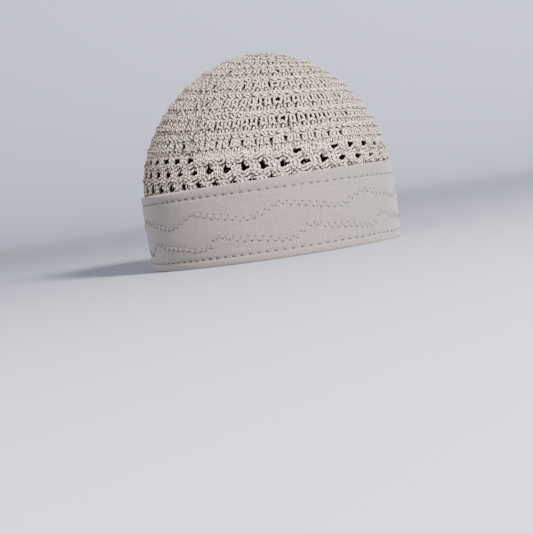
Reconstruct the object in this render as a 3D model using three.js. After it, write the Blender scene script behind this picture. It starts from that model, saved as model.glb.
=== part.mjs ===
// Kufi: a crocheted skull cap sewn into a plain cloth band.
// Millimetres, +Z up, the front of the cap faces -Y, and the origin is the middle of the ring that it rests on.
// Two solids: the band, a folded and stitched ring of cloth, and the crown, a crocheted dome that is tucked
// behind the band's upper edge. The dome has a rib for each tall round of crochet and three rounds of eyelets.
// The rounds aren't level: their middle lies in front of the top of the dome, so they run lower at the front.
import * as THREE from "three";

// Band sizes.
const bandLength = 196; // front to back over the cloth, at its upper edge
const bandWidth = 178; // side to side over the cloth, at its upper edge
const bandHeight = 56;
const bandThickness = 3; // two layers of cloth with a stiffener
const bandTaper = 1.3; // how far each side of the lower edge stands in from the upper edge
const upperFoldRise = 2.4; // height of the rounding at the upper fold
const lowerFoldRise = 4.2; // height of the rounding at the lower fold
const restWidth = 1.4; // flat of the lower fold, where it stands
const upperSeamDrop = 7.5; // upper row of stitches, below the upper edge
const lowerSeamRise = 6.6; // lower row of stitches, above the lower edge
const seamGroove = 0.4; // how deep the stitches pull the cloth in
const clothSwell = 0.35; // how far the cloth stands out between the two rows

// Crown sizes.
const crownRise = 92.5; // from the band's upper edge to the top of the dome
const crownWall = 4.4; // crochet of thick yarn
const crownFullness = 1.86; // exponent of the dome's section: 2 is an ellipse, less is flatter at the shoulder
const crownLean = 2; // how far the top of the dome stands off the middle
const crownLeanHeading = -30; // where it leans to, in degrees from +X
const seamClearance = 0.3; // between the crown's hem and the band
const hemBelowEyelets = 2.5; // how far the hem reaches below the lowest round
const hemDrawIn = 0.02; // how much faster than the band the hem draws in, per millimetre of depth
const ribHeight = 0.8; // how far a tall round stands out
const grooveDepth = 0.4; // how far the line between two rounds lies in
const eyeletWidth = 6.2;
const eyeletHeight = 4.4;
const eyeletSkew = 3; // turn from one round of eyelets to the next lower one, in degrees

// The rounds tilt by these angles in degrees, down towards a heading in degrees from +X.
const tiltAtBand = 2.2;
const tiltAtTip = 9.6;
const tiltHeading = -75;

// Numbers of columns and steps.
const eyeletCount = 40;
const bandColumns = 80;
const foldSteps = 3; // facets of each rounded fold

// Rounds of crochet from the tip down, with the angle in degrees that each spans on the way down the dome.
// The band's edge lies at 90, and the last round reaches below it. Fine rounds have half the others' columns.
const rounds = [
  { kind: "tip", span: 3.2, fine: true },
  { kind: "ridge", span: 2.7, fine: true },
  { kind: "tall", span: 6.5, fine: true },
  { kind: "ridge", span: 3, fine: true },
  { kind: "tall", span: 7, fine: true },
  { kind: "ridge", span: 3.4, fine: true },
  { kind: "tall", span: 7.2, fine: true },
  { kind: "ridge", span: 3.4, fine: true },
  { kind: "tall", span: 6.9, fine: false },
  { kind: "ridge", span: 3.4, fine: false },
  { kind: "tall", span: 7.8, fine: false },
  { kind: "ridge", span: 3.5, fine: false },
  { kind: "tall", span: 7, fine: false },
  { kind: "ridge", span: 3.5, fine: false },
  { kind: "tall", span: 6.1, fine: false },
  { kind: "eyelets", span: 6.4, fine: false },
  { kind: "eyelets", span: 6.4, fine: false },
  { kind: "eyelets", span: 6.4, fine: false },
];

const degrees = Math.PI / 180;
const edgeAngle = 90;
const crownInset = bandThickness + seamClearance;
const crownHalfWidth = bandWidth / 2 - crownInset;
const crownHalfLength = bandLength / 2 - crownInset;
const crownRadius = (crownHalfWidth + crownHalfLength) / 2;

// How far a face stands in from the upper edge's outline at a height.
function taperAt(z) {
  return bandTaper * (1 - z / bandHeight);
}

// Collects vertices and the faces between them, and makes the closed geometry.
class Skin {
  constructor() {
    this.positions = [];
    this.faces = [];
  }

  point(x, y, z) {
    this.positions.push(x, y, z);
    return this.positions.length / 3 - 1;
  }

  face(a, b, c) {
    this.faces.push(a, b, c);
  }

  quad(a, b, c, d) {
    this.face(a, b, c);
    this.face(a, c, d);
  }

  geometry() {
    const geometry = new THREE.BufferGeometry();
    geometry.setAttribute("position", new THREE.Float32BufferAttribute(this.positions, 3));
    geometry.setIndex(this.faces);
    geometry.computeVertexNormals();
    return geometry;
  }
}

// The band's section as inset and height, once round it from the inside of the flat that it stands on.
function bandSection() {
  const innerInset = (z) => taperAt(z) + bandThickness;
  const outerFlat = bandThickness - restWidth;
  const section = [
    [innerInset(0), 0],
    [taperAt(0) + outerFlat, 0],
  ];
  for (let step = 1; step <= foldSteps; step += 1) {
    const turn = (step / foldSteps) * (Math.PI / 2);
    const z = lowerFoldRise * (1 - Math.cos(turn));
    section.push([taperAt(z) + outerFlat * (1 - Math.sin(turn)), z]);
  }
  const upperSeam = bandHeight - upperSeamDrop;
  const middle = (lowerSeamRise + upperSeam) / 2;
  section.push([taperAt(lowerSeamRise) + seamGroove, lowerSeamRise]);
  section.push([taperAt(middle) - clothSwell, middle]);
  section.push([taperAt(upperSeam) + seamGroove, upperSeam]);
  const foldInset = bandThickness / 2;
  for (let step = 0; step <= 2 * foldSteps; step += 1) {
    const turn = (step / foldSteps) * (Math.PI / 2);
    const z = bandHeight - upperFoldRise * (1 - Math.sin(turn));
    section.push([taperAt(z) + foldInset * (1 - Math.cos(turn)), z]);
  }
  section.push([innerInset(lowerFoldRise), lowerFoldRise]);
  return section;
}

function makeBand() {
  const skin = new Skin();
  const rings = bandSection().map(([inset, z]) =>
    Array.from({ length: bandColumns }, (_, column) => {
      const turn = (column / bandColumns) * 2 * Math.PI;
      const x = (bandWidth / 2 - inset) * Math.cos(turn);
      const y = (bandLength / 2 - inset) * Math.sin(turn);
      return skin.point(x, y, z);
    }),
  );
  rings.forEach((ring, index) => {
    const next = rings[(index + 1) % rings.length];
    ring.forEach((corner, column) => {
      const beside = (column + 1) % bandColumns;
      skin.quad(corner, ring[beside], next[beside], next[column]);
    });
  });
  return skin.geometry();
}

// A point of the crown, by its turn about the crochet's middle and its angle down from it, both in degrees.
// The way out from the middle of the band's upper edge meets the dome there, and goes on by the relief.
function crownPoint(turn, angle, relief) {
  const tilt = tiltAtBand + (tiltAtTip - tiltAtBand) * (1 - (angle / edgeAngle) ** 2);
  const way = new THREE.Vector3(
    Math.sin(angle * degrees) * Math.cos(turn * degrees),
    Math.sin(angle * degrees) * Math.sin(turn * degrees),
    Math.cos(angle * degrees),
  );
  const heading = tiltHeading * degrees;
  way.applyAxisAngle(new THREE.Vector3(-Math.sin(heading), Math.cos(heading), 0), tilt * degrees);
  const across = Math.hypot(way.x / crownHalfWidth, way.y / crownHalfLength) ** crownFullness;
  const up = (Math.max(0, way.z) / crownRise) ** crownFullness;
  const place = way.multiplyScalar((across + up) ** (-1 / crownFullness) + relief);
  const share = Math.max(0, place.z) / crownRise;
  place.x += crownLean * share * Math.cos(crownLeanHeading * degrees);
  place.y += crownLean * share * Math.sin(crownLeanHeading * degrees);
  return drawnIn(place);
}

// Below the band's edge the crown keeps clear of the band, which draws in as it goes down.
function drawnIn(place) {
  const drop = Math.max(0, -place.z);
  const narrowing = drop * (bandTaper / bandHeight + hemDrawIn);
  const keep = 1 - narrowing / Math.hypot(place.x, place.y);
  return new THREE.Vector3(place.x * keep, place.y * keep, place.z + bandHeight);
}

// A point of the crown's hem, which is cut level.
function hemPoint(turn, drop, relief) {
  const x = (crownHalfWidth + relief) * Math.cos(turn * degrees);
  const y = (crownHalfLength + relief) * Math.sin(turn * degrees);
  return drawnIn(new THREE.Vector3(x, y, -drop));
}

// Angles down the dome at which the crown's skin has a ring, from the lowest round up, with its relief and turn.
// A ring under an eyelet is marked as its sill. The inner skin leaves out the rings that only make the ribs.
function crownLevels() {
  const levels = [];
  let low = rounds.reduce((sum, round) => sum + round.span, 0);
  let turn = eyeletSkew * 2;
  [...rounds].reverse().forEach(({ kind, span, fine }) => {
    const middle = low - span / 2;
    levels.push({ angle: low, relief: -grooveDepth, turn, fine, inner: kind !== "ridge" });
    if (kind === "eyelets") {
      const halfEyelet = eyeletHeight / 2 / crownRadius / degrees;
      levels.push({ angle: middle + halfEyelet, relief: 0, turn, fine, inner: true, sill: true });
      levels.push({ angle: middle - halfEyelet, relief: 0, turn, fine, inner: true });
      turn -= eyeletSkew;
    } else if (kind === "tall") {
      levels.push({ angle: middle, relief: ribHeight, turn, fine, inner: false });
    }
    low -= span;
  });
  return levels;
}

// Turns in degrees of the corners of one ring: the two sides of each eyelet, or only its middle in a fine ring.
function ringTurns({ fine, turn }) {
  const halfEyelet = eyeletWidth / 2 / crownRadius / degrees;
  const offsets = fine ? [0] : [-halfEyelet, halfEyelet];
  const middles = Array.from({ length: eyeletCount }, (_, index) => (index / eyeletCount) * 360);
  return middles.flatMap((middle) => offsets.map((offset) => middle + offset + turn));
}

// One skin of the crown as a stack of rings from the hem up, and the corner at the tip.
function crownSkin(skin, levels, hemDrop, place) {
  const corner = (point) => skin.point(point.x, point.y, point.z);
  const hem = ringTurns(levels[0]).map((turn) => corner(place.hem(turn, hemDrop)));
  const rings = levels.map((level) => ringTurns(level).map((turn) => corner(place.dome(turn, level))));
  return { rings: [hem, ...rings], tip: corner(place.dome(0, { angle: 0, relief: 0 })) };
}

// Faces between two rings of one skin. The upper ring may have half the corners of the lower one.
function joinRings(lower, upper, face, leaveEyelets) {
  const count = lower.length;
  if (upper.length === count) {
    for (let column = 0; column < count; column += 1) {
      const beside = (column + 1) % count;
      const open = leaveEyelets && column % 2 === 0;
      if (!open) {
        face(lower[column], lower[beside], upper[beside]);
        face(lower[column], upper[beside], upper[column]);
      }
    }
    return;
  }
  upper.forEach((corner, index) => {
    const left = lower[2 * index];
    const right = lower[2 * index + 1];
    const nextLeft = lower[(2 * index + 2) % count];
    const nextCorner = upper[(index + 1) % upper.length];
    face(left, right, corner);
    face(right, nextLeft, nextCorner);
    face(right, nextCorner, corner);
  });
}

// All the faces of one skin. Levels start at the second ring, because the hem is below them.
function joinSkin({ rings, tip }, levels, face) {
  for (let index = 0; index + 1 < rings.length; index += 1) {
    const leaveEyelets = index > 0 && levels[index - 1].sill;
    joinRings(rings[index], rings[index + 1], face, leaveEyelets);
  }
  const last = rings[rings.length - 1];
  last.forEach((corner, column) => face(corner, last[(column + 1) % last.length], tip));
}

// The four sides of each eyelet of one round, between the outer and the inner skin.
function lineEyelets(skin, outerSill, outerHead, innerSill, innerHead) {
  for (let left = 0; left < outerSill.length; left += 2) {
    const right = left + 1;
    skin.quad(outerSill[left], outerSill[right], innerSill[right], innerSill[left]);
    skin.quad(outerHead[right], outerHead[left], innerHead[left], innerHead[right]);
    skin.quad(outerHead[left], outerSill[left], innerSill[left], innerHead[left]);
    skin.quad(outerSill[right], outerHead[right], innerHead[right], innerSill[right]);
  }
}

function makeCrown() {
  const skin = new Skin();
  const levels = crownLevels();
  const innerLevels = levels.filter((level) => level.inner);
  const lowestAngle = levels[0].angle + tiltAtBand - edgeAngle;
  const hemDrop = crownHalfLength * Math.tan(lowestAngle * degrees) + hemBelowEyelets;
  const outer = crownSkin(skin, levels, hemDrop, {
    hem: (turn, drop) => hemPoint(turn, drop, 0),
    dome: (turn, { angle, relief }) => crownPoint(turn, angle, relief),
  });
  const inner = crownSkin(skin, innerLevels, hemDrop, {
    hem: (turn, drop) => hemPoint(turn, drop, -crownWall),
    dome: (turn, { angle }) => crownPoint(turn, angle, -crownWall),
  });
  joinSkin(outer, levels, (a, b, c) => skin.face(a, b, c));
  joinSkin(inner, innerLevels, (a, b, c) => skin.face(a, c, b));
  levels.forEach((level, index) => {
    if (level.sill) {
      const at = innerLevels.indexOf(level) + 1;
      lineEyelets(skin, outer.rings[index + 1], outer.rings[index + 2], inner.rings[at], inner.rings[at + 1]);
    }
  });
  outer.rings[0].forEach((corner, column) => {
    const beside = (column + 1) % outer.rings[0].length;
    skin.quad(inner.rings[0][column], inner.rings[0][beside], outer.rings[0][beside], corner);
  });
  return skin.geometry();
}

const clothMaterial = new THREE.MeshStandardMaterial({ color: "#b3aaa6", roughness: 0.9, metalness: 0 });
const yarnMaterial = new THREE.MeshStandardMaterial({ color: "#cdc5bf", roughness: 0.75, metalness: 0 });

function namedMesh(name, geometry, material) {
  const mesh = new THREE.Mesh(geometry, material);
  mesh.name = name;
  return mesh;
}

const kufi = new THREE.Group();
kufi.add(namedMesh("band", makeBand(), clothMaterial));
kufi.add(namedMesh("crown", makeCrown(), yarnMaterial));

export default kufi;
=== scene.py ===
"""Dresses a kufi: a crocheted dome of one yarn, worked round by round, on a stitched band of cloth.

The frame's band gives the outline. Each round of the crown is a closed run of yarn that follows the
loops of its stitches, and the band is one folded strip of cloth with its machine stitching.
"""

import math
from collections import namedtuple

import bpy
import numpy as np
from bpy.props import FloatProperty, FloatVectorProperty, IntProperty, PointerProperty
from bpy.types import Operator, Panel, PropertyGroup
from mathutils import Matrix, Vector


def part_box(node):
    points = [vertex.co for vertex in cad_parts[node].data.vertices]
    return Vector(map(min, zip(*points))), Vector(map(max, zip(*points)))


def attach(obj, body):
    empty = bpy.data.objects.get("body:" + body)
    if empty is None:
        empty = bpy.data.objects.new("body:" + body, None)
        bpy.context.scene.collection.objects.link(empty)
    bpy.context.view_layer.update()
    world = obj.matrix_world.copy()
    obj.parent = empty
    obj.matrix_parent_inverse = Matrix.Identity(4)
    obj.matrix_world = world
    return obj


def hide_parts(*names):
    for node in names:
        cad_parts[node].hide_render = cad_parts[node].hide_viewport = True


bl_info = {
    "name": "Kufi",
    "version": (1, 0, 0),
    "blender": (4, 5, 0),
    "location": "3D View > Sidebar > Kufi",
    "description": "Makes a crocheted kufi with a stitched cloth band, stitch by stitch",
    "category": "Mesh",
}

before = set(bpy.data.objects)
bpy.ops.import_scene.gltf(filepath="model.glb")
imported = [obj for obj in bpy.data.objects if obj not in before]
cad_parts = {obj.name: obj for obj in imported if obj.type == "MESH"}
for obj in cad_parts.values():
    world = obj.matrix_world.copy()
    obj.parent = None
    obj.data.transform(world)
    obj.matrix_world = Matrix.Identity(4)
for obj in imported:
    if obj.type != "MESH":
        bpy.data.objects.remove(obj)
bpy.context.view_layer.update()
BAND_LOW, BAND_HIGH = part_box("band")
BAND_HALF_WIDTH = (BAND_HIGH.x - BAND_LOW.x) / 2
BAND_HALF_LENGTH = (BAND_HIGH.y - BAND_LOW.y) / 2

MM = 0.001
SEED = 57

# Camera, in metres and degrees, at the photograph's angle.
CAMERA_DISTANCE = 1.1
CAMERA_HEIGHT = 0.052
CAMERA_SIDE = -0.00875
CAMERA_AZIMUTH = -51
CAMERA_PITCH = 3.17
CAMERA_ROLL = -8.65
CAMERA_LENS_MM = 99.2
# Turn about the cap, from +X, at which the camera stands.
CAMERA_TURN = CAMERA_AZIMUTH - 90
# A little blue in the even light.
SKY_COLOUR = (0.93, 0.94, 1.0, 1.0)

# The dome's face stands in from the outline of the band by the band's thickness and a gap. Below the
# band's upper edge it narrows by a share of the way down.
CROWN_INSET = 0.0033
HEM_NARROWING = 0.0013 / 0.056 + 0.02
# The hem is tucked in behind the band, from a little above the band's upper edge on.
HEM_TUCK = 0.0016
TUCK_START = 0.0035
TUCK_LENGTH = 0.007

# One round of crochet: its kind, the degrees that it spans on the way down the dome, its number of
# stitches and the turn of one of the gaps between them. For a round of eyelets, in round heights: how
# far the chain under an eyelet rises on the camera's side, opposite it, and where it is covered.
Round = namedtuple("Round", "kind span stitches gap near_rise far_rise cover_rise", defaults=(0, 0, 0))
ROUNDS = (
    Round("tip", 3.2, 8, 200),
    Round("ridge", 2.7, 14, 204),
    Round("tall", 6.5, 16, 206),
    Round("ridge", 3.0, 26, 203),
    Round("tall", 7.0, 32, 197),
    Round("ridge", 3.4, 42, 200),
    Round("tall", 7.2, 44, 213),
    Round("ridge", 3.4, 54, 201),
    Round("tall", 6.9, 56, 202.7),
    Round("ridge", 3.4, 66, 204),
    Round("tall", 7.8, 69, 203),
    Round("ridge", 3.5, 78, 203.4),
    Round("tall", 7.0, 73, 201.3),
    Round("ridge", 3.5, 96, 202),
    Round("pairs", 6.1, 104, 201.5),
    Round("eyelets", 6.4, 40, 0, 0.18, 0.52, 0.4),
    Round("eyelets", 6.4, 40, 3, 0.28, 0.52),
    Round("eyelets", 6.4, 40, 6, 0.27, 0.75),
)
# How much the stitches of a round differ: in width as a share of it, in place and lean in stitch
# widths and in height in round heights.
WIDTH_SPREAD = 0.06
PLACE_SPREAD = 0.05
LEAN_SPREAD = 0.12
HEIGHT_SPREAD = 0.025
# How much the turns of the eyelets and of the lines of increases differ, in degrees.
EYELET_SPREAD = 0.12
INCREASE_SPREAD = 2.5
# Degrees that the stitches between two eyelets lean over the height of a round, and that the eyelets
# opposite the camera are narrowed.
POST_LEAN = 1.1
FAR_NARROWING = 0.9

# A point of the yarn's middle in a stitch: across in stitch widths from the stitch's middle, up in
# round heights from the round's lower edge, and out in yarn widths from the face of the dome.
Bend = namedtuple("Bend", "across up out")
TALL_STITCH = (
    Bend(-0.50, 0.04, 0.10),
    Bend(-0.36, 0.06, 0.50),
    Bend(-0.32, 0.26, 0.55),
    Bend(-0.26, 0.52, 0.55),
    Bend(-0.24, 0.80, 0.55),
    Bend(-0.02, 0.98, 0.35),
    Bend(0.22, 0.82, 0.60),
    Bend(0.24, 0.54, 0.62),
    Bend(0.16, 0.26, 0.55),
    Bend(0.06, 0.08, 0.60),
    Bend(0.18, -0.07, 0.35),
    Bend(0.38, 0.00, -0.05),
    Bend(0.42, 0.18, 0.55),
    Bend(0.26, 0.34, 1.00),
    Bend(-0.02, 0.40, 1.05),
    Bend(-0.32, 0.30, 0.75),
    Bend(-0.44, 0.36, -0.20),
    Bend(-0.46, 0.72, -0.70),
    Bend(-0.02, 0.70, -0.75),
    Bend(0.02, 0.36, -0.55),
    Bend(0.34, 0.18, -0.20),
    Bend(0.48, 0.00, 0.40),
    Bend(0.15, -0.10, 0.60),
    Bend(-0.28, -0.09, 0.45),
    Bend(-0.38, -0.02, -0.25),
    Bend(0.15, 0.02, -0.45),
)
SHORT_STITCH = (
    Bend(-0.50, 0.28, 0.35),
    Bend(-0.30, 0.66, 0.50),
    Bend(-0.06, 0.98, 0.45),
    Bend(0.18, 0.64, 0.70),
    Bend(0.40, 0.28, 0.55),
    Bend(0.24, 0.10, 0.05),
    Bend(-0.10, 0.16, -0.10),
    Bend(-0.38, 0.34, 0.30),
    Bend(-0.24, 0.46, 0.80),
    Bend(0.10, 0.16, 0.85),
    Bend(0.42, -0.04, 0.55),
    Bend(0.10, -0.10, 0.45),
    Bend(-0.35, 0.00, 0.35),
    Bend(-0.40, 0.12, -0.30),
    Bend(0.10, 0.20, -0.45),
)
# A narrow stitch between two eyelets.
POST_STITCH = (
    Bend(-0.50, 0.04, 0.10),
    Bend(-0.28, 0.14, 0.60),
    Bend(-0.20, 0.50, 0.50),
    Bend(-0.34, 0.82, 0.55),
    Bend(-0.05, 1.00, 0.40),
    Bend(0.36, 0.84, 0.60),
    Bend(0.30, 0.52, 0.70),
    Bend(0.22, 0.20, 0.55),
    Bend(0.10, -0.04, 0.10),
    Bend(-0.40, 0.10, 0.00),
    Bend(-0.40, 0.34, 0.60),
    Bend(0.00, 0.30, 1.05),
    Bend(0.42, 0.14, 0.70),
    Bend(0.30, -0.06, 0.50),
    Bend(-0.30, -0.10, 0.45),
    Bend(-0.25, 0.00, -0.35),
    Bend(0.30, 0.02, -0.35),
)
# The chain under an eyelet. Its way across is in degrees from the eyelet's middle.
CHAIN_STITCH = (
    Bend(-2.3, 0.20, 0.30),
    Bend(-1.0, 0.06, 0.50),
    Bend(0.6, 0.18, 0.60),
    Bend(2.2, 0.28, 0.35),
    Bend(1.2, 0.10, -0.10),
    Bend(-0.8, 0.00, -0.10),
    Bend(-2.1, -0.02, 0.20),
    Bend(-1.3, -0.16, 0.65),
    Bend(0.3, -0.06, 0.85),
    Bend(2.0, 0.08, 0.35),
    Bend(0.8, -0.12, 0.00),
    Bend(-0.9, -0.22, 0.00),
    Bend(-2.0, -0.26, 0.20),
    Bend(-0.6, -0.42, 0.50),
    Bend(0.8, -0.30, 0.70),
    Bend(1.9, -0.16, 0.25),
)
# Turns of the eyelets of the upper open round that its neighbours nearly close, and how far.
COVERED_EYELETS = (
    (189, 1.0),
    (198, 1.0),
    (207, 1.0),
    (216, 0.9),
    (225, 0.6),
    (243, 0.6),
    (63, 0.9),
    (99, 0.8),
)
# Turn of the slit on which the rounds start, and of the twisted chain beside it.
START_TURN = 178
CHAIN_TURN = START_TURN + 2
# Turns of the lines on which each tall round has a stitch more, which leaves a small hole.
INCREASES = (3, 48, 92, 138, 183, 228, 264, 318)

# Relief of the band's cloth: how far a seam pulls it in and over what height, the ripple of its
# stitches, the swell between the seams and the unevenness.
SEAM_PULL = 0.0005
SEAM_REACH = 0.0011
RIPPLE = 0.00007
RIPPLE_REACH = 0.004
SWELL = 0.0005
UNEVENNESS = 0.00022

# A needle's hole: half the length and half the height of its bowl of painted shade, and the depth of the
# dimple that the needle presses into the cloth round it.
Hole = namedtuple("Hole", "length height dimple")
HOLES = {"seam": Hole(0.0017, 0.00048, 0.0004), "wave": Hole(0.00075, 0.0007, 0.00032)}
# Radius of a dimple, and how far from its middle it ends.
DIMPLE_RADIUS = 0.0009
DIMPLE_REACH = 0.0025

# Degrees that one wave of stitching takes, and the turn of a peak of each waved row.
WAVE_REPEAT = 40
UPPER_PEAK = 180.5
LOWER_PEAK = 190.8
# A point of the middle of a wave of stitching: how far through the wave, its height and the swing of
# the needle to each side, in millimetres.
Swing = namedtuple("Swing", "through height swing")
UPPER_WAVE = (
    Swing(0.00, 38.6, 0.8),
    Swing(0.06, 38.0, 1.1),
    Swing(0.12, 37.0, 1.4),
    Swing(0.25, 35.3, 1.6),
    Swing(0.40, 33.7, 1.6),
    Swing(0.48, 32.4, 1.4),
    Swing(0.56, 30.9, 1.1),
    Swing(0.66, 30.4, 0.9),
    Swing(0.72, 31.5, 1.3),
    Swing(0.78, 33.0, 1.7),
    Swing(0.84, 34.6, 0.9),
    Swing(0.92, 36.4, 0.7),
)
LOWER_WAVE = (
    Swing(0.00, 20.4, 0.8),
    Swing(0.08, 20.3, 0.8),
    Swing(0.15, 19.4, 1.1),
    Swing(0.22, 17.6, 1.5),
    Swing(0.35, 16.8, 1.6),
    Swing(0.50, 15.8, 1.5),
    Swing(0.60, 14.6, 1.3),
    Swing(0.68, 13.2, 1.1),
    Swing(0.78, 12.6, 0.9),
    Swing(0.85, 13.6, 1.3),
    Swing(0.92, 15.4, 1.8),
    Swing(0.96, 17.8, 1.0),
)


class KufiCrown(PropertyGroup):
    """Sizes of the crocheted dome."""

    rise: FloatProperty(
        name="Rise",
        description="From the band's upper edge to the top of the dome",
        default=0.0925,
        unit="LENGTH",
    )
    fullness: FloatProperty(
        name="Fullness",
        description="Exponent of the dome's section: 2 is an ellipse, less is flatter",
        default=1.86,
    )
    lean: FloatProperty(
        name="Lean",
        description="How far the top of the dome stands off the middle",
        default=0.002,
        unit="LENGTH",
    )
    lean_heading: FloatProperty(
        name="Lean heading",
        description="Where the dome leans to, from +X",
        default=math.radians(-30),
        unit="ROTATION",
    )
    tilt_at_band: FloatProperty(
        name="Tilt at the band",
        description="How far the lowest rounds tip towards the front",
        default=math.radians(2.2),
        unit="ROTATION",
    )
    tilt_at_tip: FloatProperty(
        name="Tilt at the tip",
        description="How far the first round tips towards the front",
        default=math.radians(9.6),
        unit="ROTATION",
    )
    tilt_heading: FloatProperty(
        name="Tilt heading",
        description="Where the rounds tip to, from +X",
        default=math.radians(-75),
        unit="ROTATION",
    )
    eyelet_half_width: FloatProperty(
        name="Half eyelet",
        description="Half the width of an eyelet, as a turn about the dome",
        default=math.radians(2.25),
        unit="ROTATION",
    )


class KufiYarn(PropertyGroup):
    """The yarn of the dome."""

    width: FloatProperty(
        name="Width",
        description="Thickness of the yarn",
        default=0.0024,
        unit="LENGTH",
    )
    depth: FloatProperty(
        name="Depth",
        description="How far the middle of the stitches lies inside the dome's face",
        default=0.0021,
        unit="LENGTH",
    )
    sides: IntProperty(
        name="Sides",
        description="Number of facets round the yarn",
        default=6,
        min=5,
    )
    step: FloatProperty(
        name="Step",
        description="Length of one facet along the yarn",
        default=0.0012,
        unit="LENGTH",
    )
    colour: FloatVectorProperty(
        name="Colour",
        description="Colour of the yarn",
        subtype="COLOR",
        default=(0.96, 0.715, 0.565),
    )


class KufiBand(PropertyGroup):
    """Sizes of the cloth band and its stitching."""

    thickness: FloatProperty(
        name="Thickness",
        description="Thickness of the doubled and stiffened cloth",
        default=0.003,
        unit="LENGTH",
    )
    taper: FloatProperty(
        name="Taper",
        description="How far each side of the lower edge stands in from the upper edge",
        default=0.0013,
        unit="LENGTH",
    )
    upper_seam: FloatProperty(
        name="Upper seam",
        description="Upper row of stitches, below the upper edge",
        default=0.008,
        unit="LENGTH",
    )
    lower_seam: FloatProperty(
        name="Lower seam",
        description="Lower row of stitches, above the lower edge",
        default=0.006,
        unit="LENGTH",
    )
    stitch: FloatProperty(
        name="Stitch",
        description="Length of a stitch of the straight rows",
        default=0.0062,
        unit="LENGTH",
    )
    zigzag: FloatProperty(
        name="Zigzag",
        description="Length of one way across of the waved rows",
        default=0.0026,
        unit="LENGTH",
    )
    thread: FloatProperty(
        name="Thread",
        description="Thickness of the sewing thread",
        default=0.00045,
        unit="LENGTH",
    )
    colour: FloatVectorProperty(
        name="Colour",
        description="Colour of the cloth",
        subtype="COLOR",
        default=(0.093, 0.0725, 0.0635),
    )


class KufiStage(PropertyGroup):
    """Floor and lights."""

    colour: FloatVectorProperty(
        name="Colour",
        description="Colour of the floor and the sweep behind",
        subtype="COLOR",
        default=(0.70, 0.70, 0.86),
    )
    key_power: FloatProperty(
        name="Key",
        description="Power of the main light",
        default=190.0,
        unit="POWER",
    )
    fill_power: FloatProperty(
        name="Fill",
        description="Power of the fill light",
        default=52.0,
        unit="POWER",
    )
    wall_power: FloatProperty(
        name="Wall",
        description="Power of the wall's light",
        default=72.0,
        unit="POWER",
    )
    sky: FloatProperty(name="Sky", description="Strength of the even light", default=0.32)


class Signal:
    """A value that changes over a surface, from the output of a node."""

    def __init__(self, shade, socket):
        self.shade = shade
        self.socket = socket

    def math(self, operation, *values):
        sockets = dict(enumerate(values))
        return self.shade.node("Math", {"operation": operation}, sockets)

    def __add__(self, other):
        return self.math("ADD", self, other)

    def __radd__(self, other):
        return self.math("ADD", other, self)

    def __sub__(self, other):
        return self.math("SUBTRACT", self, other)

    def __rsub__(self, other):
        return self.math("SUBTRACT", other, self)

    def __mul__(self, other):
        return self.math("MULTIPLY", self, other)

    def __rmul__(self, other):
        return self.math("MULTIPLY", other, self)

    def __abs__(self):
        return self.math("ABSOLUTE", self)

    def power(self, other):
        return self.math("POWER", self, other)

    def sine(self):
        return self.math("SINE", self)

    def at_least(self, other):
        return self.math("MAXIMUM", self, other)


class Shade:
    """A material made of nodes."""

    def __init__(self, name):
        self.material = bpy.data.materials.new(name)
        self.material.use_nodes = True
        self.tree = self.material.node_tree
        self.tree.nodes.clear()

    def node(self, kind, settings=None, sockets=None, output=0):
        made = self.tree.nodes.new("ShaderNode" + kind)
        for key, value in (settings or {}).items():
            setattr(made, key, value)
        for key, value in (sockets or {}).items():
            if isinstance(value, Signal):
                self.tree.links.new(value.socket, made.inputs[key])
            else:
                made.inputs[key].default_value = value
        return Signal(self, made.outputs[output])

    def place(self, uv_map):
        return self.node("UVMap", {"uv_map": uv_map})

    def axes(self, place):
        """The two coordinates of a place on a UV map."""
        first = self.node("SeparateXYZ", None, {0: place})
        return first, Signal(self, first.socket.node.outputs[1])

    def mix(self, factor, first, second):
        """A colour between two others. The sockets are the colour ones of a Mix node."""
        return self.node("Mix", {"data_type": "RGBA"}, {0: factor, 6: first, 7: second}, output=2)

    def ramp(self, value, low, high):
        """A value that rises smoothly from 0 at low to 1 at high."""
        sockets = {"Value": value, "From Min": low, "From Max": high}
        return self.node("MapRange", {"interpolation_type": "SMOOTHSTEP"}, sockets)

    def finish(self, surface):
        output = self.tree.nodes.new("ShaderNodeOutputMaterial")
        self.tree.links.new(surface.socket, output.inputs["Surface"])
        return self.material


def rgba(colour, factor):
    return (*(min(1.0, channel * factor) for channel in colour), 1.0)


def yarn_material(colour):
    """Smooth cotton of two plies, with painted shade in the grooves between them, on its sides and where
    the yarn turns inwards, and a painted highlight on its outward crests.
    """
    shade = Shade("crochet yarn")
    along, around = shade.axes(shade.place("run"))
    out, facing = shade.axes(shade.place("lie"))
    ply_length, strand_length, strand_count = 0.0058, 0.003, 16
    plies = abs((around * math.tau + along * (math.tau / ply_length)).sine())
    strands = (around * (strand_count * math.tau) - along * (math.tau / strand_length)).sine()
    patches = shade.node("TexNoise", None, {"Scale": 38.0, "Detail": 2.0})
    light = shade.mix(patches, rgba(colour, 0.88), rgba(colour, 1.01))
    slubs = shade.node("TexNoise", None, {"Scale": 330.0, "Detail": 1.0})
    # Painted shade: darker in the grooves between the plies, on the yarn's sides and on the strands that
    # lie deeper in the dome; the outward crests keep a painted highlight.
    ridge = shade.ramp(plies, 0.1, 0.9)
    outer = shade.ramp(out, -0.3, 0.8)
    painted_crest_light = facing.at_least(0.0).power(5.0) * (outer * 0.7 + 0.3)
    slubs_and_painted_light = (ridge * 0.8 + 0.2) * painted_crest_light * shade.ramp(slubs + painted_crest_light * 0.3, 0.15, 0.7)
    # Where the painted shade is deepest the colour falls to almost black.
    toned = shade.mix(slubs_and_painted_light, rgba(colour, 0.02), light)
    height = plies + strands * 0.04
    bump = shade.node("Bump", None, {"Strength": 1.0, "Distance": 0.0007, "Height": height})
    surface = shade.node(
        "BsdfPrincipled",
        None,
        {
            "Base Color": toned,
            "Roughness": 0.8 - slubs_and_painted_light * 0.48,
            "Specular IOR Level": 0.7,
            "Normal": bump,
        },
    )
    return shade.finish(surface)


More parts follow.
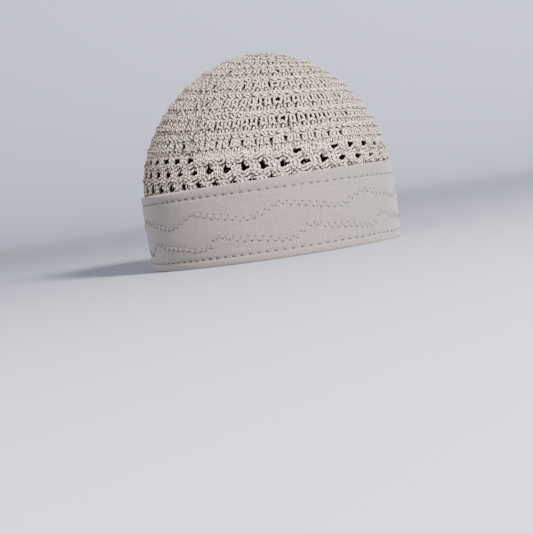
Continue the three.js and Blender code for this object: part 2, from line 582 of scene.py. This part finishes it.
def cloth_material(colour):
    """Plain-woven cotton: threads over and under, with uneven ones among them."""
    shade = Shade("band cloth")
    place = shade.place("grain")
    along, up = shade.axes(place)
    thread_pitch = 0.00052
    warp = (along * (math.tau / thread_pitch)).sine()
    weft = (up * (math.tau / thread_pitch)).sine()
    weave = warp * weft
    uneven = shade.node("Mapping", None, {0: place, "Scale": (900.0, 45.0, 1.0)})
    slubs = shade.node("TexNoise", None, {"Vector": uneven, "Scale": 1.0, "Detail": 2.0})
    patches = shade.node("TexNoise", None, {"Scale": 26.0, "Detail": 3.0})
    nap = shade.node("TexNoise", None, {"Vector": place, "Scale": 1150.0, "Detail": 1.0})
    tone = weave * 0.1 + (slubs - 0.5) * 0.5 + (patches - 0.5) * 0.4 + (nap - 0.5) * 2 + 0.5
    toned = shade.mix(tone, rgba(colour, 0.55), rgba(colour, 1.45))
    height = weave * 0.4 + slubs * 0.6 + nap
    bump = shade.node("Bump", None, {"Strength": 0.6, "Distance": 0.00016, "Height": height})
    surface = shade.node(
        "BsdfPrincipled",
        None,
        {
            "Base Color": toned,
            "Roughness": 0.88,
            "Normal": bump,
            "Sheen Weight": 0.2,
            "Sheen Roughness": 0.6,
        },
    )
    return shade.finish(surface)


def thread_material(colour):
    """Twisted sewing thread in the cloth's colour, painted lighter as a painted highlight, with painted
    shade between its plies.
    """
    shade = Shade("sewing thread")
    along, around = shade.axes(shade.place("run"))
    ply_length = 0.0009
    plies = (around * (2 * math.tau) + along * (math.tau / ply_length)).sine()
    # Painted highlight and shade: up to nearly twice the grey on the plies' crests, less between them.
    toned = shade.mix(plies * 0.5 + 0.5, rgba(colour, 1.2), rgba(colour, 1.8))
    surface = shade.node("BsdfPrincipled", None, {"Base Color": toned, "Roughness": 0.4})
    return shade.finish(surface)


def needle_shade_material(colour):
    """Painted shade for the bottom of a needle's hole."""
    shade = Shade("needle holes")
    grain = shade.node("TexNoise", None, {"Scale": 900.0})
    # Painted shade: 6 to 20 per cent of the cloth's grey.
    toned = shade.mix(grain, rgba(colour, 0.06), rgba(colour, 0.2))
    surface = shade.node("BsdfPrincipled", None, {"Base Color": toned, "Roughness": 0.95})
    return shade.finish(surface)


def stage_material(colour):
    """Matte paper, painted darker near the cap, where the key lights the floor most, and lighter far off:
    painted shade near and painted light far.
    """
    shade = Shade("paper sweep")
    reach = shade.axes(shade.place("reach"))[0]
    # Painted shade near the cap, painted light far off.
    far = shade.ramp(reach, 0.7, 4.2)
    toned = shade.mix(far, rgba(colour, 0.275), rgba(colour, 0.76))
    surface = shade.node("BsdfPrincipled", None, {"Base Color": toned, "Roughness": 0.9})
    return shade.finish(surface)


def mesh_piece(name, points, quads, material, maps=None):
    """A smooth mesh of four-sided faces. Each of its UV maps has a pair for each corner."""
    mesh = bpy.data.meshes.new(name)
    mesh.vertices.add(len(points))
    mesh.vertices.foreach_set("co", np.asarray(points, np.float32).ravel())
    mesh.loops.add(quads.size)
    mesh.loops.foreach_set("vertex_index", quads.astype(np.int32).ravel())
    mesh.polygons.add(len(quads))
    mesh.polygons.foreach_set("loop_start", np.arange(0, quads.size, quads.shape[1], dtype=np.int32))
    for uv_map, uv in (maps or {}).items():
        layer = mesh.uv_layers.new(name=uv_map)
        layer.uv.foreach_set("vector", np.asarray(uv, np.float32).ravel())
    mesh.update(calc_edges=True)
    mesh.shade_smooth()
    mesh.materials.append(material)
    piece = bpy.data.objects.new(name, mesh)
    bpy.context.scene.collection.objects.link(piece)
    return piece


def grid_quads(rows, columns, closed_rows, closed_columns):
    """Corners of the faces of a grid of points, row by row."""
    row = np.arange(rows if closed_rows else rows - 1)
    column = np.arange(columns if closed_columns else columns - 1)
    row, column = (part.ravel() for part in np.meshgrid(row, column, indexing="ij"))
    next_row = (row + 1) % rows
    next_column = (column + 1) % columns
    corners = (
        row * columns + column,
        row * columns + next_column,
        next_row * columns + next_column,
        next_row * columns + column,
    )
    return np.stack(corners, 1), row, column


def smooth_run(bends, step, closed=True):
    """Points of a smooth line through bends, about a step apart, by the centripetal Catmull-Rom rule.

    What follows the three coordinates of a bend is smoothed along with them.
    """
    if closed:
        first, second, third, fourth = (np.roll(bends, shift, 0) for shift in (1, 0, -1, -2))
    else:
        padded = np.vstack([2 * bends[0] - bends[1], bends, 2 * bends[-1] - bends[-2]])
        first, second, third, fourth = padded[:-3], padded[1:-2], padded[2:-1], padded[3:]
    gaps = [
        np.sqrt(np.linalg.norm((b - a)[:, :3], axis=1)).clip(1e-5)
        for a, b in ((first, second), (second, third), (third, fourth))
    ]
    lengths = np.linalg.norm((third - second)[:, :3], axis=1)
    counts = np.maximum(2, np.ceil(lengths / step * 1.1)).astype(int)
    which = np.repeat(np.arange(len(counts)), counts)
    starts = np.repeat(np.cumsum(counts) - counts, counts)
    share = (np.arange(counts.sum()) - starts) / counts[which]
    p0, p1, p2, p3 = (part[which] for part in (first, second, third, fourth))
    g0, g1, g2 = (gap[which][:, None] for gap in gaps)
    t = share[:, None] * g1
    a1 = (-t / g0) * p0 + (1 + t / g0) * p1
    a2 = (1 - t / g1) * p1 + (t / g1) * p2
    a3 = (1 - (t - g1) / g2) * p2 + ((t - g1) / g2) * p3
    b1 = (1 - (t + g0) / (g0 + g1)) * a1 + ((t + g0) / (g0 + g1)) * a2
    b2 = (1 - t / (g1 + g2)) * a2 + (t / (g1 + g2)) * a3
    run = (1 - t / g1) * b1 + (t / g1) * b2
    return run if closed else np.vstack([run, bends[-1]])


def sideways(run, closed):
    """For each point of a run a unit vector across it, which turns as little as it can."""
    ahead = np.roll(run, -1, 0) - np.roll(run, 1, 0)
    if not closed:
        ahead[0] = run[1] - run[0]
        ahead[-1] = run[-1] - run[-2]
    ahead /= np.linalg.norm(ahead, axis=1)[:, None].clip(1e-9)
    x, y, z = np.cross(ahead[0], (0.3, 0.5, 0.8))
    found = []
    for ax, ay, az in ahead.tolist():
        dot = x * ax + y * ay + z * az
        x, y, z = x - dot * ax, y - dot * ay, z - dot * az
        size = math.sqrt(x * x + y * y + z * z) or 1.0
        x, y, z = x / size, y / size, z / size
        found.append((x, y, z))
    side = np.array(found)
    return side, np.cross(ahead, side)


def tube(run, radius, sides, closed=True):
    """Points, faces and UV corners of a tube round a run. U is metres along it, V is once round it."""
    side, other = sideways(run, closed)
    turn = (np.arange(sides) / sides * math.tau)[None, :, None]
    ring = np.cos(turn) * side[:, None, :] + np.sin(turn) * other[:, None, :]
    points = (run[:, None, :] + radius * ring).reshape(-1, 3)
    quads, row, column = grid_quads(len(run), sides, closed, True)
    lengths = np.linalg.norm(np.diff(run, axis=0, append=run[:1]), axis=1)
    ends = np.concatenate([[0], np.cumsum(lengths)])
    low, high = ends[row], ends[row + 1]
    left, right = column / sides, (column + 1) / sides
    uv = np.stack([low, left, low, right, high, right, high, left], 1).reshape(-1, 2)
    return points, quads, uv


def apart(turn, middle, whole=360):
    """How far turns lie past a middle, the shorter way round."""
    return (turn - middle + whole / 2) % whole - whole / 2


def crown_places(crown, turn, angle):
    """Points of the dome's face, at turns about the crochet's middle and angles down from it in degrees."""
    half_width = BAND_HALF_WIDTH - CROWN_INSET
    half_length = BAND_HALF_LENGTH - CROWN_INSET
    tilt = crown.tilt_at_band + (crown.tilt_at_tip - crown.tilt_at_band) * (1 - (angle / 90) ** 2)
    turn, angle = np.radians(turn), np.radians(angle)
    way = np.stack([np.sin(angle) * np.cos(turn), np.sin(angle) * np.sin(turn), np.cos(angle)], -1)
    pin = np.array([-math.sin(crown.tilt_heading), math.cos(crown.tilt_heading), 0.0])
    cos, sin = np.cos(tilt)[..., None], np.sin(tilt)[..., None]
    way = way * cos + np.cross(pin, way) * sin + pin * (way @ pin)[..., None] * (1 - cos)
    across = np.hypot(way[..., 0] / half_width, way[..., 1] / half_length) ** crown.fullness
    up = (np.maximum(0, way[..., 2]) / crown.rise) ** crown.fullness
    place = way * ((across + up) ** (-1 / crown.fullness))[..., None]
    share = np.maximum(0, place[..., 2]) / crown.rise
    place[..., 0] += crown.lean * share * math.cos(crown.lean_heading)
    place[..., 1] += crown.lean * share * math.sin(crown.lean_heading)
    drop = np.maximum(0, -place[..., 2])
    keep = 1 - drop * HEM_NARROWING / np.hypot(place[..., 0], place[..., 1])
    place[..., :2] *= keep[..., None]
    place[..., 2] += BAND_HIGH.z
    return place


def crown_run(crown, yarn, turn, angle, out):
    """Bends of yarn at turns and angles in degrees and out in yarn widths.

    Each is a place in metres, followed by out and the direction in which the dome faces there.
    """
    small = 0.2
    place = crown_places(crown, turn, angle)
    ahead = crown_places(crown, turn + small / np.sin(np.radians(angle)).clip(0.02), angle) - place
    down = crown_places(crown, turn, angle + small) - place
    normal = np.cross(down, ahead)
    normal /= np.linalg.norm(normal, axis=-1)[..., None]
    tucked = ((BAND_HIGH.z + TUCK_START - place[..., 2]) / TUCK_LENGTH).clip(0, 1)
    tucked = tucked * tucked * (3 - 2 * tucked)
    relief = out * yarn.width - yarn.depth - tucked * HEM_TUCK
    return np.column_stack([place + normal * relief[..., None], out, normal])


def smooth_noise(rng, turn, waves, size):
    """An uneven wave round the cap, with so many waves at most."""
    orders = np.arange(1, waves + 1)
    phases = rng.uniform(0, math.tau, waves)
    sizes = rng.normal(0, 1, waves) / math.sqrt(waves)
    return size * (sizes * np.sin(np.radians(turn)[..., None] * orders + phases)).sum(-1)


def parted(turn, up, gaps, width, reach):
    """Turns moved away from the gaps, most at the upper edge of the round."""
    away = apart(turn[..., None], np.asarray(gaps))
    edge = 0.35 * width
    push = np.tanh(away / edge) * np.exp(-np.abs(away) / reach)
    higher = ((up - 0.25) / 0.5).clip(0, 1)
    return turn + width / 2 * push.sum(-1) * higher


def stitch_run(stitch, centres, width, rng, wobble):
    """Turn, up and out of every bend of a round, stitch after stitch."""
    across, up, out = np.array(stitch).T
    by_stitch, by_bend = (len(centres), 1), (len(centres), len(stitch))
    turn = centres[:, None] + across * width * rng.normal(1, WIDTH_SPREAD, by_stitch)
    turn = turn + (up - 0.5) * rng.normal(0, LEAN_SPREAD * width, by_stitch)
    up = up + rng.normal(0, HEIGHT_SPREAD, by_bend)
    out = out + rng.normal(0, wobble, by_bend)
    return turn, up, out


def covered(turn):
    """How far the eyelets of the upper open round are covered at some turns."""
    eyelet, cover = np.array(COVERED_EYELETS).T
    reach = 2.6
    return (cover * np.exp(-((apart(turn[..., None], eyelet) / reach) ** 2))).sum(-1)


def drawn_in(turn):
    """How much the eyelets are drawn together, from 0 on the camera's side to 1 opposite it."""
    starts, over = 80, 50
    return ((np.abs(apart(turn, CAMERA_TURN)) - starts) / over).clip(0, 1)


def start_column(turn, up, out):
    """The leaning column at which each round starts, which lies deeper, under the twisted chain."""
    reach, lean, depth = 3, 2.4, 0.3
    near = np.exp(-((apart(turn, CHAIN_TURN) / reach) ** 2))
    return turn + lean * (up - 0.5) * near, out - depth * near


def start_chain(crown, yarn):
    """Bends of two strands twisted together down the line on which the rounds start."""
    top, end, count = 34, 73.5, 81
    twist_length, sway_length = 4.2, 10.4
    angle = np.linspace(top, end, count)
    twist = (angle - top) / twist_length * math.tau + 1.3 * np.sin(angle * 1.1)
    sway = 0.8 * np.sin(angle / sway_length * math.tau)
    drift = 9.5 * ((62 - angle) / 22).clip(0, 2) ** 2
    spread = (0.65 + 0.2 * np.sin(angle * 0.7)) / np.sin(np.radians(angle))
    runs = []
    for phase, order in ((0.0, 1), (math.pi, -1)):
        turn = CHAIN_TURN - 1.5 + sway - drift + spread * np.sin(twist + phase)
        out = 1.15 + 0.35 * np.cos(twist + phase)
        runs.append(crown_run(crown, yarn, turn, angle, out)[::order])
    return np.vstack(runs)


def sagged(turn, up):
    """Heights of a round whose lower edge hangs over the covered eyelets of the next round."""
    hanging = 0.25
    sag = 0.1 + 0.5 * covered(turn)
    return up - sag * ((hanging - up) / hanging).clip(0, 1)


def full_round(row, rng):
    """Turns, heights and outs of a round of stitches without eyelets."""
    pitch = 360 / row.stitches
    reach = 0.8 * pitch
    centres = row.gap + (np.arange(row.stitches) + 0.5) * pitch
    centres = centres + rng.normal(0, PLACE_SPREAD * pitch, row.stitches)
    stitch = TALL_STITCH if row.kind in ("tall", "pairs") else SHORT_STITCH
    turn, up, out = (part.ravel() for part in stitch_run(stitch, centres, pitch, rng, wobble=0.05))
    if row.kind == "pairs":
        pair_gap, slit, slit_turn = 2.1, 2.4, START_TURN - 3
        between_pairs = row.gap + np.arange(row.stitches // 2) * 2 * pitch
        turn = parted(turn, up, between_pairs, pair_gap, reach)
        up = sagged(turn, up)
        turn = parted(turn, up, [slit_turn], slit, reach)
        turn, out = start_column(turn, up, out)
    elif row.kind == "tall":
        gap, slit = 0.65 * pitch, 0.6 * pitch
        increases = np.array(INCREASES) + rng.normal(0, INCREASE_SPREAD, len(INCREASES))
        turn = parted(turn, up, increases, gap, reach)
        turn = parted(turn, up, [START_TURN], slit, reach)
        turn, out = start_column(turn, up, out)
    return turn, up, out


def eyelet_round(row, crown, rng):
    """Two tall stitches and a chain, again and again."""
    repeat = 360 / row.stitches
    half = math.degrees(crown.eyelet_half_width)
    width = (repeat - 2 * half) / 2
    parts = []
    for index in range(row.stitches):
        middle = np.array([row.gap + index * repeat + rng.normal(0, EYELET_SPREAD)])
        chain = stitch_run(CHAIN_STITCH, middle, 1.0, rng, wobble=0.03)
        rise = row.near_rise + (row.far_rise - row.near_rise) * drawn_in(middle)
        chain[1][:] += rise + row.cover_rise * covered(middle)
        posts = [
            stitch_run(POST_STITCH, middle + half + (0.5 + post) * width, width, rng, wobble=0.04)
            for post in range(2)
        ]
        for turn, up, out in (chain, *posts):
            parts.append((turn[0], up[0], out[0]))
    turn, up, out = (np.concatenate(part) for part in zip(*parts))
    past = apart(turn, row.gap, repeat)
    narrower = drawn_in(turn) * FAR_NARROWING * np.sin(past / repeat * math.tau)
    return turn - narrower - POST_LEAN * (up - 0.5), up, out


def round_edge(number, turn):
    """Angle in degrees, at some turns, of the uneven edge above a round."""
    level = sum(row.span for row in ROUNDS[:number])
    waves, unevenness = 14, 0.35
    return level + smooth_noise(np.random.default_rng(SEED + number), turn, waves, unevenness)


class KUFI_OT_crown(Operator):
    """Crochets the dome, one closed run of yarn for each round"""

    bl_idname = "kufi.crown"
    bl_label = "Crown"

    def execute(self, context):
        crown, yarn = context.scene.kufi_crown, context.scene.kufi_yarn
        material = yarn_material(yarn.colour)
        rng = np.random.default_rng(SEED)
        least_angle = 0.5
        for number, row in enumerate(ROUNDS):
            if row.kind == "eyelets":
                turn, up, out = eyelet_round(row, crown, rng)
            else:
                turn, up, out = full_round(row, rng)
            upper, lower = round_edge(number, turn), round_edge(number + 1, turn)
            angle = (lower - up * (lower - upper)).clip(least_angle)
            bends = crown_run(crown, yarn, turn, angle, out)
            self.yarn_piece(f"crown_round_{number + 1:02d}", bends, yarn, material)
        self.yarn_piece("crown_start_chain", start_chain(crown, yarn), yarn, material)
        return {"FINISHED"}

    def yarn_piece(self, name, bends, yarn, material):
        """A closed run of yarn, whose second UV map tells how each corner lies to the dome's face, which
        the yarn's material uses for its painted shade and highlight.
        """
        run = smooth_run(bends, yarn.step)
        points, quads, uv = tube(run[:, :3], yarn.width / 2, yarn.sides)
        spokes = (points.reshape(-1, yarn.sides, 3) - run[:, None, :3]) / (yarn.width / 2)
        facing = (spokes * run[:, None, 4:]).sum(-1).ravel()
        lie = np.stack([np.repeat(run[:, 3], yarn.sides), facing], 1)[quads.ravel()]
        piece = mesh_piece(name, points, quads, material, {"run": uv, "lie": lie})
        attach(piece, "root")
        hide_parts("crown")


def band_round(turn, inset, z):
    """Points of the band at turns in radians, standing in from the outline of its upper edge."""
    x = (BAND_HALF_WIDTH - inset) * np.cos(turn)
    y = (BAND_HALF_LENGTH - inset) * np.sin(turn)
    return np.stack([x, y, z], -1)


def band_length():
    """Length of the outline of the band's upper edge."""
    turn = np.linspace(0, math.tau, 721)
    return np.linalg.norm(np.diff(band_round(turn, 0, 0 * turn), axis=0), axis=1).sum()


def seam_height(band, turn, upper):
    """Height of a straight row of stitches. The upper one isn't quite level."""
    if not upper:
        return band.lower_seam + 0 * turn
    slope, heading = 0.0018, math.radians(160)
    return BAND_HIGH.z - band.upper_seam + slope * np.cos(turn - heading)


def wave_places(wave, peak, band, rng):
    """Turns in radians and heights of the needle's holes of a waved row."""
    count = 2 * round(band_length() / band.zigzag / 2)
    turn = math.radians(peak) + np.arange(count) / count * math.tau
    through = (np.degrees(turn) - peak) / WAVE_REPEAT % 1
    rows = np.array([*wave, Swing(1.0, *wave[0][1:])])
    height = np.interp(through, rows[:, 0], rows[:, 1])
    swing = np.interp(through, rows[:, 0], rows[:, 2])
    side = np.where(np.arange(count) % 2, 1, -1)
    turn_spread, height_spread = 0.0012, 0.15
    height = height + side * swing + rng.normal(0, height_spread, count)
    return turn + rng.normal(0, turn_spread, count), height * MM


def seam_places(band, upper, rng):
    """Turns in radians and heights of the needle's holes of a straight row."""
    count = round(band_length() / band.stitch)
    turn_spread, height_spread = 0.003, 0.00008
    turn = np.arange(count) / count * math.tau + rng.normal(0, turn_spread, count)
    return turn, seam_height(band, turn, upper) + rng.normal(0, height_spread, count)


def needle_rows(band):
    """Kind, turns and heights of the holes of the four rows of stitching, from the top down."""
    rng = np.random.default_rng(SEED)
    return (
        ("seam", *seam_places(band, True, rng)),
        ("wave", *wave_places(UPPER_WAVE, UPPER_PEAK, band, rng)),
        ("wave", *wave_places(LOWER_WAVE, LOWER_PEAK, band, rng)),
        ("seam", *seam_places(band, False, rng)),
    )


def band_relief(band, turn, z):
    """How far the face of the cloth stands out, with its seams pulled in and the soft swell between."""
    upper, lower = seam_height(band, turn, True), seam_height(band, turn, False)
    stitches = round(band_length() / band.stitch)
    relief = 0.0
    for seam in (upper, lower):
        relief = relief - SEAM_PULL * np.exp(-(((z - seam) / SEAM_REACH) ** 2))
        ripple = np.sin(turn * stitches) * np.exp(-np.abs(z - seam) / RIPPLE_REACH)
        relief = relief + RIPPLE * ripple
    middle = ((z - lower) / (upper - lower)).clip(0, 1)
    relief = relief + SWELL * np.sin(math.pi * middle)
    rng = np.random.default_rng(SEED)
    orders, waves = 4, 9
    for order in range(orders):
        slow = smooth_noise(rng, np.degrees(turn), waves, UNEVENNESS)
        relief = relief + slow * np.cos(math.pi * order * z / BAND_HIGH.z)
    return relief


def band_section(band):
    """Inset and height along the folded strip, from its turned hem over the top and up the inside."""
    top, wall = BAND_HIGH.z, band.thickness
    hem_end, hem_inset, fold = top - 0.012, wall - 0.0007, 0.0024
    hem = [(hem_inset, z) for z in np.linspace(hem_end, top - fold, 6)]
    over = [
        (hem_inset / 2 * (1 + math.cos(turn)), top - fold * (1 - math.sin(turn)))
        for turn in np.linspace(0, math.pi, 11)[1:]
    ]
    low, flat_start, flat_end = 0.0042, 0.0016, 0.0024
    face = [(0.0, z) for z in np.linspace(top - fold, low, 78)[1:]]
    bottom = [
        (flat_start * (1 - math.sin(turn)), low * (1 - math.cos(turn)))
        for turn in np.linspace(math.pi / 2, 0, 8)[1:]
    ]
    under = [(flat_end, 0.0), (wall, 0.0006)]
    inside = [(wall, z) for z in np.linspace(0.003, top - 0.003, 14)]
    return np.array([*hem, *over, *face, *bottom, *under, *inside])


class KUFI_OT_band(Operator):
    """Folds the strip of cloth into the band, pulled in where it is stitched"""

    bl_idname = "kufi.band"
    bl_label = "Band"

    def execute(self, context):
        band = context.scene.kufi_band
        section = band_section(band)
        columns = 560
        turn = np.arange(columns) / columns * math.tau
        inset, z = (np.repeat(section[:, part : part + 1], columns, 1) for part in (0, 1))
        turns = np.repeat(turn[None, :], len(section), 0)
        outer_share = 0.6
        outer = (1 - inset / (band.thickness * outer_share)).clip(0, 1)
        inset = inset + band.taper * (1 - z / BAND_HIGH.z)
        relief = (band_relief(band, turns, z) + self.dimples(band, turns, z)) * outer
        points = band_round(turns, inset - relief, z)
        quads, row, column = grid_quads(len(section), columns, False, True)
        along = np.concatenate([[0], np.cumsum(np.linalg.norm(np.diff(section, axis=0), axis=1))])
        length = band_length()
        left, right = column / columns * length, (column + 1) / columns * length
        low, high = along[row], along[row + 1]
        uv = np.stack([left, low, right, low, right, high, left, high], 1).reshape(-1, 2)
        material = cloth_material(band.colour)
        piece = mesh_piece("band_cloth", points.reshape(-1, 3), quads, material, {"grain": uv})
        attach(piece, "root")
        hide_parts("band")
        return {"FINISHED"}

    def dimples(self, band, turns, z):
        """How far the needle has pressed the cloth in at each point of the strip."""
        press = np.zeros_like(z)
        scale = band_length() / math.tau
        for kind, holes, heights in needle_rows(band):
            for hole, height in zip(holes, heights):
                along = apart(turns[0], hole, math.tau) * scale
                rows = np.nonzero(np.abs(z[:, 0] - height) < DIMPLE_REACH)[0]
                columns = np.nonzero(np.abs(along) < DIMPLE_REACH)[0]
                spot = np.ix_(rows, columns)
                away = along[columns][None, :] ** 2 + (z[spot] - height) ** 2
                dimple = HOLES[kind].dimple * np.exp(-away / DIMPLE_RADIUS**2)
                press[spot] = np.minimum(press[spot], -dimple)
        return press


def thread_runs(band, holes, heights, dive, bulge):
    """Short runs of thread, each from one hole to the next, which dive in some way from both."""
    share = np.array([dive - 0.08, dive, dive + 0.16, 0.84 - dive, 1 - dive, 1.08 - dive])
    sunk, level = -0.0005, 0.00005
    out = np.array([sunk, level, bulge, bulge, level, sunk])
    ways = apart(np.roll(holes, -1), holes, math.tau)
    climbs = np.roll(heights, -1) - heights
    for start, way, low, climb in zip(holes, ways, heights, climbs):
        turn = start + way * share
        z = low + climb * share
        inset = band.taper * (1 - z / BAND_HIGH.z) - band_relief(band, turn, z) - out
        yield band_round(turn, inset, z)


def joined_tubes(runs, radius, sides):
    """One mesh of many short tubes."""
    points, quads, uv, count = [], [], [], 0
    for run in runs:
        places, faces, corners = tube(run, radius, sides, closed=False)
        points.append(places)
        quads.append(faces + count)
        uv.append(corners)
        count += len(places)
    return np.vstack(points), np.vstack(quads), np.vstack(uv)


class KUFI_OT_stitching(Operator):
    """Sews the straight and the waved rows, and marks the needle's holes with painted shade"""

    bl_idname = "kufi.stitching"
    bl_label = "Stitching"

    def execute(self, context):
        band = context.scene.kufi_band
        rows = needle_rows(band)
        grey = [(channel + sum(band.colour) / 3) / 2 for channel in band.colour]
        material = thread_material(grey)
        for name, sewn, dive, bulge in (
            ("band_seams", "seam", 0.24, 0.00032),
            ("band_waves", "wave", 0.13, 0.0002),
        ):
            runs = []
            for kind, holes, heights in rows:
                if kind == sewn:
                    runs.extend(thread_runs(band, holes, heights, dive, bulge))
            points, quads, uv = joined_tubes(runs, band.thread / 2, sides=6)
            piece = mesh_piece(name, points, quads, material, {"run": uv})
            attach(piece, "root")
        self.holes(band, rows, needle_shade_material(grey))
        return {"FINISHED"}

    def holes(self, band, rows, material):
        """A small, shallow bowl in the cloth for each hole, painted dark as the shade inside the hole."""
        sides = 8
        turn = np.arange(sides) / sides * math.tau
        scale = band_length() / math.tau
        points, quads = [], []
        rim, bottom = (1.0, 0.00004), (0.05, 0.00012)
        for kind, holes, heights in rows:
            bowl = HOLES[kind]
            for hole, height in zip(holes, heights):
                count = len(points) * sides
                for share, depth in (rim, bottom):
                    around = hole + bowl.length * share * np.cos(turn) / scale
                    z = height + bowl.height * share * np.sin(turn)
                    inset = band.taper * (1 - z / BAND_HIGH.z) - band_relief(band, around, z)
                    points.append(band_round(around, inset + depth, z))
                corner = count + np.arange(sides)
                beside = count + (np.arange(sides) + 1) % sides
                quads.append(np.stack([corner, beside, beside + sides, corner + sides], 1))
        piece = mesh_piece("band_needle_holes", np.vstack(points), np.vstack(quads), material)
        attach(piece, "root")


class KUFI_OT_stage(Operator):
    """Lays the floor with its sweep, and sets the lights and the camera"""

    bl_idname = "kufi.stage"
    bl_label = "Stage"

    def execute(self, context):
        stage = context.scene.kufi_stage
        self.sweep(stage)
        self.lights(context, stage)
        self.camera(context)
        return {"FINISHED"}

    def sweep(self, stage):
        """A round floor that curves up into a wall all round."""
        floor_radius, bend, wall = 2.4, 1.2, 3.0
        innermost, rings, columns = 0.0001, 12, 96
        turn = np.linspace(0, math.pi / 2, 25)[1:]
        flat = np.linspace(innermost, floor_radius, rings)
        radius = np.concatenate([flat, floor_radius + bend * np.sin(turn), [floor_radius + bend]])
        height = np.concatenate([0 * flat, bend * (1 - np.cos(turn)), [wall]])
        around = np.arange(columns) / columns * math.tau
        x, y = radius[:, None] * np.cos(around), radius[:, None] * np.sin(around)
        points = np.stack([x, y, np.repeat(height[:, None], columns, 1)], -1)
        quads = grid_quads(len(radius), columns, False, True)[0]
        along = np.concatenate([[0], np.cumsum(np.hypot(np.diff(radius), np.diff(height)))])
        reach = np.repeat(along, columns)[quads.ravel()]
        maps = {"reach": np.stack([reach, reach], 1)}
        piece = mesh_piece("floor", points.reshape(-1, 3), quads, stage_material(stage.colour), maps)

    def lights(self, context, stage):
        """A key from above the front, a fill from the left, a light on the wall and an even sky."""
        for name, power, size, place, target in (
            ("key", stage.key_power, 0.35, (-0.45, -1.45, 0.88), (0, 0, 0.07)),
            ("fill", stage.fill_power, 1.2, (-1.5, -0.5, 0.7), (0, 0, 0.07)),
            ("wall light", stage.wall_power, 1.5, (1.8, 0.2, 2.2), (3.6, 0.9, 0.7)),
        ):
            light = bpy.data.lights.new(name, "AREA")
            light.energy = power
            light.size = size
            lamp = bpy.data.objects.new(name, light)
            lamp.location = place
            aim = Vector(target) - lamp.location
            lamp.rotation_euler = aim.to_track_quat("-Z", "Y").to_euler()
            context.scene.collection.objects.link(lamp)
        world = bpy.data.worlds.new("sky")
        world.use_nodes = True
        backdrop = world.node_tree.nodes["Background"]
        backdrop.inputs["Color"].default_value = SKY_COLOUR
        backdrop.inputs["Strength"].default_value = stage.sky
        context.scene.world = world

    def camera(self, context):
        """The photograph's camera: a little above the floor, and turned about its own axis."""
        degrees = (CAMERA_AZIMUTH, CAMERA_PITCH, CAMERA_ROLL)
        azimuth, pitch, roll = (math.radians(angle) for angle in degrees)
        level = Vector((-math.sin(azimuth), math.cos(azimuth), 0))
        ahead = level * math.cos(pitch) - Vector((0, 0, 1)) * math.sin(pitch)
        right = ahead.cross(Vector((0, 0, 1))).normalized()
        up = right.cross(ahead)
        across = right * math.cos(roll) + up * math.sin(roll)
        above = up * math.cos(roll) - right * math.sin(roll)
        place = Vector((0, 0, CAMERA_HEIGHT)) - level * CAMERA_DISTANCE + right * CAMERA_SIDE
        lens = bpy.data.cameras.new("camera")
        lens.lens = CAMERA_LENS_MM
        lens.sensor_width = 36
        camera = bpy.data.objects.new("camera", lens)
        turned = Matrix((across, above, -ahead)).transposed().to_4x4()
        camera.matrix_world = Matrix.Translation(place) @ turned
        context.scene.collection.objects.link(camera)
        context.scene.camera = camera


class KUFI_PT_panel(Panel):
    """Lists the kufi's pieces and sizes"""

    bl_idname = "KUFI_PT_panel"
    bl_label = "Kufi"
    bl_space_type = "VIEW_3D"
    bl_region_type = "UI"
    bl_category = "Kufi"

    def draw(self, context):
        for operator, names in STEPS.items():
            column = self.layout.column(heading=operator.bl_label)
            for name in names:
                for prop in GROUPS[name].__annotations__:
                    column.prop(getattr(context.scene, name), prop)
            column.operator(operator.bl_idname)


GROUPS = {
    "kufi_crown": KufiCrown,
    "kufi_yarn": KufiYarn,
    "kufi_band": KufiBand,
    "kufi_stage": KufiStage,
}
# Each step in order, with the groups of sizes and colours that are listed above its button.
STEPS = {
    KUFI_OT_stage: ("kufi_stage",),
    KUFI_OT_crown: ("kufi_crown", "kufi_yarn"),
    KUFI_OT_stitching: ("kufi_band",),
    KUFI_OT_band: (),
}
CLASSES = (*GROUPS.values(), *STEPS, KUFI_PT_panel)


def register():
    for item in CLASSES:
        bpy.utils.register_class(item)
    for name, group in GROUPS.items():
        setattr(bpy.types.Scene, name, PointerProperty(type=group))


def unregister():
    for name in GROUPS:
        delattr(bpy.types.Scene, name)
    for item in reversed(CLASSES):
        bpy.utils.unregister_class(item)


def main():
    register()
    bpy.ops.kufi.stage()
    bpy.ops.kufi.crown()
    bpy.ops.kufi.stitching()
    bpy.ops.kufi.band()


if __name__ == "__main__":
    main()
